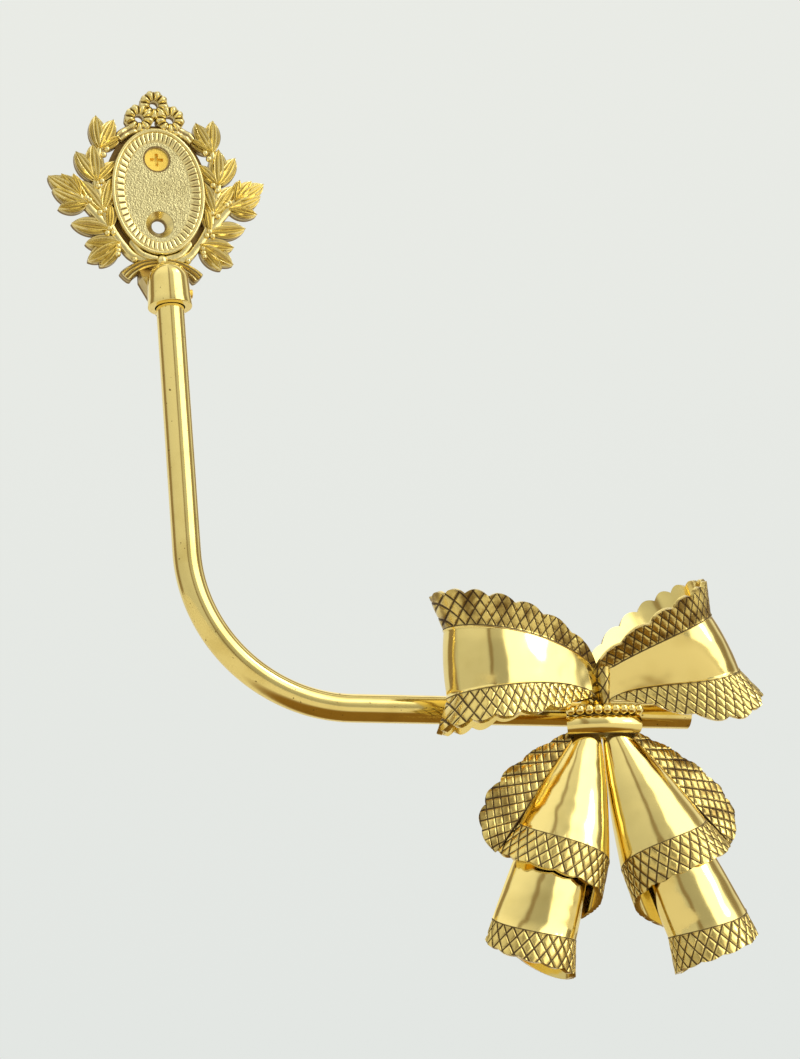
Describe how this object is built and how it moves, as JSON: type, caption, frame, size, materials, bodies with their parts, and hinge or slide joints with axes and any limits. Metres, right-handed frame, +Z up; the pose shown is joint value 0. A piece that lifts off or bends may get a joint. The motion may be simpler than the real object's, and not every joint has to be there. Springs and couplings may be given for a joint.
{
  "type": "curtain holdback",
  "caption": "Brass curtain holdback: a wreathed oval wall plate with a J-shaped tube arm that ends in a ribbon bow with lace borders and pleated tails.",
  "frame": {"origin": "on the plate's flat back, midway between the two screw holes", "axes": "+Y points into the wall, +Z up, +X along the wall from the plate towards the bow"},
  "size_m": [0.2166, 0.0828, 0.2991],
  "materials": {
    "plate_brass": "satin cast brass with a stippled field",
    "polished_brass": "polished and lacquered",
    "bow_brass": "polished ribbon, lace borders darkened in their grooves",
    "screw_brass": "yellow plated"
  },
  "bodies": {
    "root": {"wall_plate": "plate_brass", "arm_socket": "polished_brass", "arm_tube": "polished_brass", "bow_casting": "bow_brass", "wall_screw": "screw_brass", "socket_grub_screw": "screw_brass", "bow_fixing_screw": "screw_brass"}
  },
  "joints": []
}
